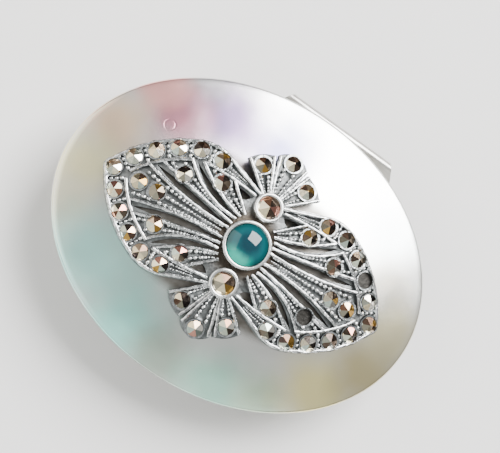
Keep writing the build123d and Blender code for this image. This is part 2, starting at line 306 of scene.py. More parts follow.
class Wiring:
    """One node tree, with short names for the nodes that these finishes use."""

    scratch_fade = 0.06  # how much more noise takes a scratch from nothing to its full strength

    def __init__(self, tree: bpy.types.NodeTree, coordinates: str = "Object") -> None:
        """Start wiring a tree.

        Args:
            tree: The tree.
            coordinates: The coordinates that its patterns follow.
        """
        self.tree = tree
        self.place = self.add("ShaderNodeTexCoord").outputs[coordinates]

    def add(self, kind: str, **settings: object) -> bpy.types.Node:
        """Add a node and set its properties.

        Args:
            kind: The node's type.
            **settings: Properties of the node.

        Returns:
            The node.
        """
        node = self.tree.nodes.new(kind)
        for key, value in settings.items():
            setattr(node, key, value)
        return node

    def feed(self, socket: Socket, value: object) -> None:
        """Link or set an input.

        Args:
            socket: The input.
            value: An output to link, or a constant to set.
        """
        if isinstance(value, Socket):
            self.tree.links.new(value, socket)
        elif isinstance(value, tuple) and len(value) == 3 and socket.type == "RGBA":
            socket.default_value = (*value, 1.0)
        else:
            socket.default_value = value

    def maths(self, operation: str, *values: object, clamp: bool = False) -> Socket:
        """Combine numbers.

        Args:
            operation: The Math node's operation.
            *values: Its inputs.
            clamp: Whether the result is kept from 0 to 1.

        Returns:
            The result.
        """
        node = self.add("ShaderNodeMath", operation=operation, use_clamp=clamp)
        for socket, value in zip(node.inputs, values):
            self.feed(socket, value)
        return node.outputs[0]

    def flat(self) -> Socket:
        """Give the object's coordinates pressed flat onto its plan."""
        node = self.add("ShaderNodeVectorMath", operation="MULTIPLY")
        self.feed(node.inputs[0], self.place)
        node.inputs[1].default_value = (1, 1, 0)
        return node.outputs["Vector"]

    def grain(self, sizes: tuple[float, float, float], turn: float = 0.0) -> Socket:
        """Turn the object's coordinates about Z and measure them in grains of a real size.

        Args:
            sizes: A grain's length along each turned axis.
            turn: The turn in radians.

        Returns:
            The new coordinates.
        """
        node = self.add("ShaderNodeMapping", vector_type="TEXTURE")
        self.feed(node.inputs["Vector"], self.place)
        node.inputs["Scale"].default_value = sizes
        node.inputs["Rotation"].default_value = (0, 0, turn)
        return node.outputs[0]

    def noise(
        self, size: float, detail: float = 3.0, place: Socket | None = None, rough: float = 0.5
    ) -> Socket:
        """Make a noise pattern with grains of a real size.

        Args:
            size: Rough size of a grain.
            detail: Octaves of finer noise.
            place: Coordinates, or the object's own.
            rough: Weight of the finer noise.

        Returns:
            The noise, about 0 to 1.
        """
        node = self.add("ShaderNodeTexNoise")
        self.feed(node.inputs["Vector"], place or self.place)
        node.inputs["Scale"].default_value = 1 / size
        node.inputs["Detail"].default_value = detail
        node.inputs["Roughness"].default_value = rough
        return node.outputs["Fac"]

    def ramp(self, value: object, low: float, high: float) -> Socket:
        """Map a number smoothly onto 0 to 1.

        Args:
            value: The number.
            low: What gives 0.
            high: What gives 1.

        Returns:
            The mapped number.
        """
        node = self.add("ShaderNodeMapRange", interpolation_type="SMOOTHSTEP")
        self.feed(node.inputs["Value"], value)
        node.inputs["From Min"].default_value = low
        node.inputs["From Max"].default_value = high
        return node.outputs["Result"]

    def between(self, value: object, low: float, high: float) -> Socket:
        """Map 0 to 1 onto a range in a straight line.

        Args:
            value: The number.
            low: The result at 0.
            high: The result at 1.

        Returns:
            The mapped number.
        """
        node = self.add("ShaderNodeMapRange")
        self.feed(node.inputs["Value"], value)
        node.inputs["To Min"].default_value = low
        node.inputs["To Max"].default_value = high
        return node.outputs["Result"]

    def blend(self, share: object, below: object, above: object, how: str = "MIX") -> Socket:
        """Mix two colours.

        Args:
            share: How much of the second shows.
            below: The first colour.
            above: The second colour.
            how: The blend type.

        Returns:
            The mixed colour.
        """
        node = self.add("ShaderNodeMix", data_type="RGBA", blend_type=how)
        self.feed(node.inputs["Factor"], share)
        self.feed(node.inputs[6], below)
        self.feed(node.inputs[7], above)
        return node.outputs[2]

    def reach(self, point: Vector, place: Socket | None = None) -> Socket:
        """Measure the distance to a point.

        Args:
            point: The point.
            place: Coordinates, or the object's own.

        Returns:
            The distance.
        """
        node = self.add("ShaderNodeVectorMath", operation="DISTANCE")
        self.feed(node.inputs[0], place or self.place)
        node.inputs[1].default_value = point
        return node.outputs["Value"]

    def raise_by(self, height: Socket, depth: float, below: object = None) -> Socket:
        """Bump the surface.

        Args:
            height: The pattern, 0 to 1.
            depth: Its real depth.
            below: Another bump to add to.

        Returns:
            The bumped normal.
        """
        node = self.add("ShaderNodeBump")
        node.inputs["Distance"].default_value = depth
        self.feed(node.inputs["Height"], height)
        if below is not None:
            self.feed(node.inputs["Normal"], below)
        return node.outputs["Normal"]

    def scratches(self, length: float, width: float, turns: Sequence[float], keep: float) -> Socket:
        """Make fine scratches that run several ways.

        Args:
            length: A scratch's rough length.
            width: A scratch's rough width.
            turns: The ways they run, in radians about Z.
            keep: The noise level over which a scratch shows.

        Returns:
            Scratches, 0 to 1.
        """
        total: object = 0.0
        for turn in turns:
            along = self.grain((length, width, length), turn)
            line = self.ramp(self.noise(1.0, 1.0, along), keep, keep + self.scratch_fade)
            total = self.maths("MAXIMUM", total, line)
        return total

    def to_nearest(self, spots: Sequence[Spot]) -> Socket:
        """Measure in plan to the nearest of some spots, given for one quarter and mirrored to all four.

        Args:
            spots: The spots.

        Returns:
            The distance.
        """
        mirrored = self.add("ShaderNodeVectorMath", operation="ABSOLUTE")
        self.feed(mirrored.inputs[0], self.flat())
        nearest: object = 1.0
        for spot in spots:
            away = self.reach(Vector((*spot, 0)), mirrored.outputs[0])
            nearest = self.maths("MINIMUM", nearest, away)
        return nearest


class Paint(Wiring):
    """A material's wiring, which ends in one Principled shader."""

    def __init__(self, name: str) -> None:
        """Start a material.

        Args:
            name: Its name.
        """
        self.material = bpy.data.materials.new(name)
        self.material.use_nodes = True
        super().__init__(self.material.node_tree)
        self.shader = self.tree.nodes["Principled BSDF"]

    def lay(self, **inputs: object) -> Material:
        """Feed the shader and give the finished material.

        Args:
            **inputs: What each input gets, by its name in small letters with underscores.

        Returns:
            The material.
        """
        sockets = {socket.name.lower().replace(" ", "_"): socket for socket in self.shader.inputs}
        for name, value in inputs.items():
            self.feed(sockets[name], value)
        return self.material


@dataclass(frozen=True)
class SilverFinish:
    """Polished silver with fine wear, its tint shifting a little from place to place."""

    name: str = "polished_silver"
    colour: Colour = (0.80, 0.79, 0.77)
    worn: Colour = (0.70, 0.69, 0.66)
    roughness: float = 0.24
    cloud_roughness: float = 0.08
    scratch_roughness: float = 0.12
    scratch_depth: float = 0.0015 * MM
    patch: float = 9 * MM

    def make(self) -> Material:
        """Build the material."""
        w = Paint(self.name)
        cloud = w.ramp(w.noise(self.patch, 4.0), 0.35, 0.7)
        marks = w.scratches(3 * MM, 0.05 * MM, (0.4, 1.3, 2.5), 0.68)
        rough_cloud = w.maths("MULTIPLY", cloud, self.cloud_roughness)
        wear = w.maths("ADD", rough_cloud, w.maths("MULTIPLY", marks, self.scratch_roughness))
        return w.lay(
            base_color=w.blend(cloud, self.colour, self.worn),
            metallic=1.0,
            roughness=w.maths("ADD", wear, self.roughness),
            normal=w.raise_by(marks, self.scratch_depth),
        )


@dataclass(frozen=True)
class PaintedReflection:
    """One soft patch of painted reflection on the plate, in plan: its middle and its reach in millimetres.
    """

    x: float
    y: float
    reach: float
    colour: Colour
    strength: float


@dataclass(frozen=True)
class PlateFinish:
    """The plate's worn polish: painted reflections across its face, painted shade with brown tarnish under
    the plaque, fine scratches.
    """

    outline_centre: Spot
    outline_radius: float
    ding: Vector
    name: str = "plate_silver"
    colour: Colour = (0.80, 0.80, 0.77)
    shade_and_tarnish: Colour = (0.105, 0.082, 0.06)
    shade_and_tarnish_edge: float = 1.2 * MM
    roughness: float = 0.21
    ding_radius: float = 0.55 * MM
    ding_width: float = 0.14 * MM
    ding_depth: float = 0.009 * MM
    waver: float = 2 * MM
    reflection_core: float = 0.15
    # Painted reflections in the polish: middle x and y and reach in millimetres, tint, and strength
    painted_reflections: tuple[PaintedReflection, ...] = (
        PaintedReflection(13.0, 8.4, 5.0, (0.60, 0.68, 0.70), 0.6),
        PaintedReflection(15.0, 4.4, 4.8, (0.30, 0.28, 0.23), 0.85),
        PaintedReflection(-1.6, 10.4, 6.0, (0.17, 0.17, 0.30), 0.95),
        PaintedReflection(-7.4, 10.0, 7.4, (0.13, 0.09, 0.17), 0.98),
        PaintedReflection(-12.2, 7.6, 5.4, (0.42, 0.17, 0.22), 0.95),
        PaintedReflection(-15.6, 10.0, 4.4, (1.00, 0.50, 0.46), 0.9),
        PaintedReflection(-17.0, 3.8, 5.4, (1.00, 0.74, 0.52), 0.95),
        PaintedReflection(-17.6, -1.0, 5.4, (1.00, 0.94, 0.58), 1.0),
        PaintedReflection(-16.6, -5.2, 4.4, (0.86, 0.84, 0.62), 0.9),
        PaintedReflection(-12.2, -8.6, 7.6, (0.56, 1.00, 0.90), 1.0),
        PaintedReflection(-6.4, -12.4, 7.0, (0.36, 0.80, 0.70), 0.95),
        PaintedReflection(-1.0, -13.6, 5.4, (0.34, 0.40, 0.33), 0.9),
        PaintedReflection(5.0, -13.4, 6.2, (0.36, 0.66, 0.52), 0.9),
        PaintedReflection(9.6, -11.6, 4.8, (0.54, 0.68, 0.50), 0.9),
        PaintedReflection(13.8, -8.2, 6.0, (1.00, 0.90, 0.44), 1.0),
        PaintedReflection(17.2, -4.2, 5.2, (0.62, 0.54, 0.29), 0.95),
        PaintedReflection(17.6, 0.6, 5.0, (0.70, 0.64, 0.40), 0.9),
    )

    def make(self) -> Material:
        """Build the material."""
        w = Paint(self.name)
        warp = w.noise(7 * MM, 3.0)
        flat = w.flat()
        colour: object = self.colour
        # Painted reflections: each soft tint is laid over the polish round its middle, its edge wavered by
        # noise
        for patch in self.painted_reflections:
            far = w.reach(Vector((patch.x * MM, patch.y * MM, 0)), flat)
            far = w.maths("ADD", far, w.between(warp, -self.waver, self.waver))
            full = w.ramp(far, patch.reach * MM, self.reflection_core * patch.reach * MM)
            colour = w.blend(w.maths("MULTIPLY", full, patch.strength), colour, patch.colour)
        # Painted shade under the plaque's outline, with tarnish that cleaning can't reach
        inside = w.to_nearest([self.outline_centre])
        reach = self.outline_radius
        under = w.ramp(inside, reach + 0.1 * MM, reach - self.shade_and_tarnish_edge)
        shade_and_tarnish_mask = w.maths("MULTIPLY", under, w.between(w.noise(1.1 * MM, 4.0), 0.55, 1.0))
        marks = w.scratches(5 * MM, 0.05 * MM, (0.2, 0.9, 1.7, 2.6), 0.73)
        ring = w.maths("ABSOLUTE", w.maths("SUBTRACT", w.reach(self.ding), self.ding_radius))
        dent = w.ramp(ring, self.ding_width, 0.0)
        rough = w.maths("MULTIPLY", marks, 0.03)
        rough = w.maths("ADD", rough, w.between(w.noise(5 * MM, 4.0), -0.04, 0.08))
        rough = w.maths("ADD", rough, w.maths("MULTIPLY", shade_and_tarnish_mask, 0.2))
        normal = w.raise_by(w.noise(9 * MM, 2.0), 0.12 * MM)
        normal = w.raise_by(marks, 0.0004 * MM, normal)
        return w.lay(
            base_color=w.blend(shade_and_tarnish_mask, colour, self.shade_and_tarnish),
            metallic=1.0,
            roughness=w.maths("ADD", rough, self.roughness),
            normal=w.raise_by(w.maths("SUBTRACT", 1.0, dent), self.ding_depth, normal),
        )


@dataclass(frozen=True)
class OxidisedFinish:
    """Blackened silver rubbed bright on whatever stands up: the higher over the arch, the brighter."""

    arch_centre: Vector
    arch_radius: float
    name: str = "oxidised_silver"
    deep: Colour = (0.13, 0.135, 0.135)
    middle: Colour = (0.33, 0.35, 0.355)
    bright: Colour = (0.82, 0.83, 0.83)
    dulled: Colour = (0.20, 0.21, 0.21)
    shade_and_tarnish_brown: Colour = (0.055, 0.042, 0.03)
    low: float = 0.44 * MM
    high: float = 1.10 * MM
    unevenness: float = 0.2 * MM
    dull_share: float = 0.75
    dark_share: float = 0.9
    heart: float = 4.4 * MM
    shade_and_tarnish_full: float = 2.7 * MM
    seats: tuple[Spot, ...] = ()
    seat_edge: float = 0.98 * MM
    seat_core: float = 0.82
    seat_dark: Colour = (0.035, 0.032, 0.028)

    def make(self) -> Material:
        """Build the material."""
        w = Paint(self.name)
        height = w.maths("SUBTRACT", w.reach(self.arch_centre), self.arch_radius)
        uneven = w.between(w.noise(0.45 * MM, 4.0), -self.unevenness, self.unevenness)
        rise = w.ramp(w.maths("ADD", height, uneven), self.low, self.high)
        colour = w.blend(w.ramp(rise, 0.0, 0.5), self.deep, self.middle)
        colour = w.blend(w.ramp(rise, 0.5, 0.92), colour, self.bright)
        # The rubbed polish is broken by dull patches
        broken = w.ramp(w.noise(0.42 * MM, 4.0, rough=0.62), 0.58, 0.40)
        colour = w.blend(w.maths("MULTIPLY", broken, self.dull_share), colour, self.dulled)
        # Painted shade with brown tarnish round the middle collet, on whatever lies low
        middle = w.reach(Vector((0, 0, 0)), w.flat())
        near = w.maths("MULTIPLY", w.ramp(middle, self.heart, self.shade_and_tarnish_full), w.ramp(rise, 0.85, 0.3))
        colour = w.blend(w.maths("MULTIPLY", near, self.dark_share), colour, self.shade_and_tarnish_brown)
        # Blackening left in and round the seats
        black = w.ramp(w.to_nearest(self.seats), self.seat_edge, self.seat_core * self.seat_edge)
        cup = w.maths("MULTIPLY", black, w.ramp(rise, 0.7, 0.25))
        colour = w.blend(w.maths("MULTIPLY", cup, self.dark_share), colour, self.seat_dark)
        grain = w.noise(0.16 * MM, 3.0)
        normal = w.raise_by(w.noise(0.5 * MM, 2.0), 0.05 * MM)
        return w.lay(
            base_color=colour,
            metallic=1.0,
            roughness=w.maths("ADD", w.between(rise, 0.4, 0.1), w.between(grain, 0, 0.08)),
            normal=w.raise_by(grain, 0.02 * MM, normal),
        )


@dataclass(frozen=True)
class MarcasiteFinish:
    """Polished marcasite: each facet keeps its own tone, a painted reflection read from the stone's colour
    attribute.
    """

    name: str = "marcasite"
    attribute: str = "facet"
    cloud_colour: Colour = (0.2, 0.17, 0.14)
    cloud_share: float = 0.22
    roughness: float = 0.13
    cloud_roughness: float = 0.07

    def make(self) -> Material:
        """Build the material."""
        w = Paint(self.name)
        tone = w.add("ShaderNodeAttribute", attribute_name=self.attribute).outputs["Color"]
        cloud = w.ramp(w.noise(0.35 * MM, 3.0), 0.3, 0.75)
        return w.lay(
            base_color=w.blend(w.maths("MULTIPLY", cloud, self.cloud_share), tone, self.cloud_colour),
            metallic=1.0,
            roughness=w.between(cloud, self.roughness, self.roughness + self.cloud_roughness),
            normal=w.raise_by(w.noise(0.3 * MM, 2.0), 0.006 * MM),
        )


@dataclass(frozen=True)
class GreenStoneFinish:
    """Deep teal stone, glassy on top: painted shade at its heart, painted light in a turquoise crescent
    along one side, darker at the rim, and a painted glow.
    """

    heart: Vector
    radius: float
    lit_side: Vector
    name: str = "green_stone"
    dark_painted: Colour = (0.0, 0.020, 0.030)
    body: Colour = (0.0, 0.050, 0.058)
    lit: Colour = (0.0, 0.30, 0.22)
    darker_rim: Colour = (0.0, 0.032, 0.034)
    glow: float = 0.45
    ior: float = 1.52

    def make(self) -> Material:
        """Build the material."""
        w = Paint(self.name)
        flat = w.flat()
        centre = Vector((self.heart.x, self.heart.y, 0))
        side = Vector((self.lit_side.x, self.lit_side.y, 0)).normalized()

        def radii_from(point: Vector) -> Socket:
            """Measure in plan from a point, in radii of the stone."""
            return w.maths("DIVIDE", w.reach(point, flat), self.radius)

        cloud = w.between(w.noise(0.7 * MM, 3.0), -0.12, 0.12)
        # Painted shade: darkest at the heart, which sits a little away from the lit side
        core = w.maths("ADD", radii_from(centre - side * 0.12 * self.radius), cloud)
        colour = w.blend(w.ramp(core, 0.3, 0.75), self.dark_painted, self.body)
        # Darker towards the rim
        colour = w.blend(w.ramp(radii_from(centre), 0.72, 1.0), colour, self.darker_rim)
        # Painted light: a turquoise crescent along the lit side
        near = w.maths("ADD", radii_from(centre + side * self.radius * 0.95), cloud)
        painted_lit_crescent = w.maths("MULTIPLY", w.ramp(near, 1.0, 0.25), w.ramp(core, 0.5, 0.95))
        colour = w.blend(painted_lit_crescent, colour, self.lit)
        return w.lay(
            base_color=colour,
            roughness=w.between(w.noise(0.9 * MM, 2.0), 0.02, 0.05),
            ior=self.ior,
            # Painted glow: the stone gives off its own colour, though it is no lamp
            emission_color=colour,
            emission_strength=self.glow,
        )


@dataclass(frozen=True)
class SteelFinish:
    """Drawn spring steel, finely lined along its length, a little dulled."""

    name: str = "spring_steel"
    colour: Colour = (0.56, 0.56, 0.55)
    dulled: Colour = (0.34, 0.31, 0.27)
    roughness: float = 0.3

    def make(self) -> Material:
        """Build the material."""
        w = Paint(self.name)
        dull = w.ramp(w.noise(1.5 * MM, 4.0), 0.45, 0.75)
        lines = w.noise(1.0, 2.0, w.grain((2 * MM, 0.05 * MM, 0.05 * MM)))
        return w.lay(
            base_color=w.blend(dull, self.colour, self.dulled),
            metallic=1.0,
            roughness=w.maths("ADD", w.between(dull, 0.0, 0.15), self.roughness),
            normal=w.raise_by(lines, 0.006 * MM),
        )


@dataclass(frozen=True)
class FloorFinish:
    """A pale, matt, faintly uneven studio floor."""

    name: str = "pale_floor"
    colour: Colour = (0.80, 0.79, 0.78)

    def make(self) -> Material:
        """Build the material."""
        w = Paint(self.name)
        darker = tuple(0.97 * share for share in self.colour)
        return w.lay(base_color=w.blend(w.noise(60 * MM, 2.0), self.colour, darker), roughness=0.9)


# ------------------------------------------------------------------ the arch that the plaque follows


@dataclass
class Arch:
    """The sphere that the plaque is part of, and the plate's dome under it."""

    radius: float = 52.0 * MM
    stand_off: float = 0.05 * MM
    border_radius: float = 12.38 * MM
    border_half_width: float = 1.05 * MM
    border_tip_x: float = 14.87 * MM
    border_lean: float = math.radians(27.0)
    border_pitch: float = 2.22 * MM
    border_stones: int = 4
    bend_radius: float = 3.46 * MM
    bend_turn: float = math.radians(39.0)
    plate_sheet: float = 0.9 * MM

    def __post_init__(self) -> None:
        """Work out the arch's centre from the plate in the frame."""
        low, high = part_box("dome_plate")
        self.half_length = high.x
        self.middle_y = (low.y + high.y) / 2
        self.ratio = (high.y - low.y) / (2 * high.x)
        self.back_z = low.z
        self.edge_z = low.z + self.plate_sheet
        rise = high.z - self.edge_z
        self.plate_radius = (self.half_length**2 + rise**2) / (2 * rise)
        self.plate_centre_z = high.z - self.plate_radius
        lean = Vector((math.cos(self.border_lean), math.sin(self.border_lean)))
        self.border_centre = Vector((self.border_tip_x, 0)) - self.border_radius * lean
        self.border_outer = self.border_radius + self.border_half_width
        self.tip_turn = math.asin(-self.border_centre.y / self.border_outer)
        self.tip_x = self.border_centre.x + self.border_outer * math.cos(self.tip_turn)
        step = self.border_pitch / self.border_radius
        self.bend_start = self.border_lean + self.border_stones * step
        self.bend_centre = self.border_centre + self.polar(
            self.border_radius - self.bend_radius, self.bend_start
        )
        self.centre_z = (
            self.plate_z(self.tip_x, 0) + self.stand_off - math.sqrt(self.radius**2 - self.tip_x**2)
        )
        self.centre = Vector((0, 0, self.centre_z))

    @staticmethod
    def polar(reach: float, turn: float) -> Vector:
        """Give a plan vector from a reach and a turn from +X."""
        return Vector((reach * math.cos(turn), reach * math.sin(turn)))

    def plate_z(self, x: float, y: float) -> float:
        """Give the height of the plate's outer face over a plan point."""
        across = (y - self.middle_y) / self.ratio
        return self.plate_centre_z + math.sqrt(self.plate_radius**2 - x**2 - across**2)

    def point(self, x: float, y: float, height: float) -> Vector:
        """Give the point over a plan place, at a height over the arch's underside."""
        return Vector((x, y, self.centre_z + math.sqrt((self.radius + height) ** 2 - x**2 - y**2)))

    def stand(self, x: float, y: float, height: float, spin: float = 0.0) -> Matrix:
        """Give the transform that stands an upright piece square to the arch.

        Args:
            x: Plan place.
            y: Plan place.
            height: Height over the arch's underside.
            spin: Turn about the piece's own axis.

        Returns:
            The transform.
        """
        spot = self.point(x, y, height)
        up = (spot - self.centre).normalized()
        lean = Vector((0, 0, 1)).rotation_difference(up).to_matrix().to_4x4()
        return Matrix.Translation(spot) @ lean @ Matrix.Rotation(spin, 4, "Z")

    def drape(self, piece: Piece) -> None:
        """Lay a piece that was modelled flat, with heights over the underside, onto the arch.

        Args:
            piece: The flat piece.
        """
        for vertex in piece.data.vertices:
            x, y, height = vertex.co
            vertex.co.z = self.point(x, y, height).z
        piece.data.update()


# ------------------------------------------------------------------ the plate


@dataclass
class Plate:
    """The oval domed plate and the flat sheet let into its back."""

    arch: Arch
    edge_round: float = 0.4 * MM
    recess_inset: float = 1.2 * MM
    back_thickness: float = 0.6 * MM
    segments: int = 256
    rings: int = 48
    round_steps: int = 6
    ding_place: Spot = (-12.35 * MM, 6.65 * MM)

    def profile(self) -> list[tuple[float, float]]:
        """Give the plate's closed profile, from the crown's inside out and back over the face.

        Returns:
            Radius and height of each ring.
        """
        a = self.arch
        inner = a.plate_radius - a.plate_sheet
        recess = a.half_length - self.recess_inset
        ledge_z = a.back_z + self.back_thickness
        ledge = math.sqrt(inner**2 - (ledge_z - a.plate_centre_z) ** 2)
        rings = [(0.0, a.plate_centre_z + inner)]
        for number in range(1, self.rings // 4 + 1):
            r = ledge * number / (self.rings // 4)
            rings.append((r, a.plate_centre_z + math.sqrt(inner**2 - r**2)))
        rings += [(recess, ledge_z), (recess, a.back_z)]
        # The rounded edge: under the side, then over it and onto the dome
        low = Vector((a.half_length - self.edge_round, a.back_z + self.edge_round))
        dome = a.plate_radius - self.edge_round
        high = Vector((low.x, a.plate_centre_z + math.sqrt(dome**2 - low.x**2)))
        onto_dome = math.atan2(high.y - a.plate_centre_z, high.x)
        for corner, first, last in ((low, -math.pi / 2, 0.0), (high, 0.0, onto_dome)):
            for number in range(self.round_steps + 1):
                turn = first + (last - first) * number / self.round_steps
                rings.append(tuple(corner + self.edge_round * Vector((math.cos(turn), math.sin(turn)))))
        start = rings[-1][0]
        for number in range(1, self.rings + 1):
            r = start * (1 - number / self.rings)
            rings.append((r, a.plate_z(r, a.middle_y)))
        return rings

    def build(self) -> None:
        """Turn the plate round, squash it to its oval and dress it."""
        a = self.arch
        plate = turned("domed_plate", self.profile(), self.segments)
        open_up(plate)
        bpy.ops.transform.resize(value=(1, a.ratio, 1), center_override=(0, 0, 0))
        bpy.ops.transform.translate(value=(0, a.middle_y, 0))
        close_up()
        smooth(plate, 50)
        ding = Vector((*self.ding_place, a.plate_z(*self.ding_place)))
        finish = PlateFinish(tuple(a.border_centre), a.border_outer, ding)
        dress(plate, finish.make(), Slot.SILVER, Body.BROOCH, "dome_plate")
        sheet = frame_copy("back_sheet", "back_sheet_flat", 0.06 * MM, crisp=30)
        dress(sheet, SilverFinish(name="back_silver").make(), Slot.SILVER, Body.BROOCH, "back_sheet")


def dress(piece: Piece, material: Material, slot: Slot, body: Body, *nodes: str) -> None:
    """Give a piece its finish and tie it to the frame.

    Args:
        piece: The finished piece.
        material: Its material.
        slot: The record's slot that the finish is from. Not used.
        body: The frame's body that it rides on.
        *nodes: Frame nodes that it stands for.
    """
    piece.data.materials.clear()
    piece.data.materials.append(material)
    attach(piece, body.value)
    if nodes:
        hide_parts(*nodes)
    LOG.info("%s: %d faces, rides on %s", piece.name, len(piece.data.polygons), body.value)


def frame_copy(
    node: str, name: str, edge: float, steps: int = 2, sharp: float = 35.0, crisp: float = 40.0
) -> Piece:
    """Copy a frame node's mesh, merge its loose triangles into clean faces, and round its edges.

    Args:
        node: The frame node.
        name: The copy's name.
        edge: Width of the rounding.
        steps: Steps across the rounding.
        sharp: Edges sharper than this, in degrees, are rounded.
        crisp: Edges sharper than this, in degrees, stay crisp in the shading.

    Returns:
        The workpiece.
    """
    put_down()
    mesh = bpy.data.objects[node].data.copy()
    mesh.name = name
    piece = bpy.data.objects.new(name, mesh)
    bpy.context.scene.collection.objects.link(piece)
    open_up(piece)
    bpy.ops.mesh.remove_doubles(threshold=1e-6)
    bpy.ops.mesh.dissolve_limited(angle_limit=math.radians(1.0))
    bpy.ops.mesh.normals_make_consistent(inside=False)
    close_up()
    soften(piece, edge, steps, sharp)
    smooth(piece, crisp)
    return piece


# ------------------------------------------------------------------ the plaque


@dataclass
class Bead:
    """One bead: its place in plan, its radius, and the way it runs."""

    place: Vector
    radius: float
    turn: float = 0.0

    def moved(self, sx: int, sy: int) -> "Bead":
        """Give the bead's mirror image across the plaque's axes."""
        turn = self.turn if sx * sy > 0 else -self.turn
        return Bead(Vector((sx * self.place.x, sy * self.place.y)), self.radius, turn)


@dataclass
class Ridge:
    """One raised line of the plaque: an arc in plan, from its start by way of a point to its end."""

    start: Vector
    way: Vector
    end: Vector

    def flipped(self) -> "Ridge":
        """Give the ridge's mirror image across the plaque's long axis."""
        return Ridge(*(Vector((p.x, -p.y)) for p in (self.start, self.way, self.end)))

    def circle(self) -> tuple[Vector, float, float, float]:
        """Work out the arc's circle.

        Returns:
            Centre, radius, start turn and swept turn.
        """
        ax, ay, bx, by, cx, cy = *self.start, *self.way, *self.end
        d = 2 * (ax * (by - cy) + bx * (cy - ay) + cx * (ay - by))
        aa, bb, cc = ax * ax + ay * ay, bx * bx + by * by, cx * cx + cy * cy
        centre = Vector(
            (
                (aa * (by - cy) + bb * (cy - ay) + cc * (ay - by)) / d,
                (aa * (cx - bx) + bb * (ax - cx) + cc * (bx - ax)) / d,
            )
        )
        first = math.atan2(*reversed(self.start - centre))
        middle = math.atan2(*reversed(self.way - centre))
        last = math.atan2(*reversed(self.end - centre))
        there = (last - first) % math.tau
        if (middle - first) % math.tau > there:
            there -= math.tau
        return centre, (self.start - centre).length, first, there


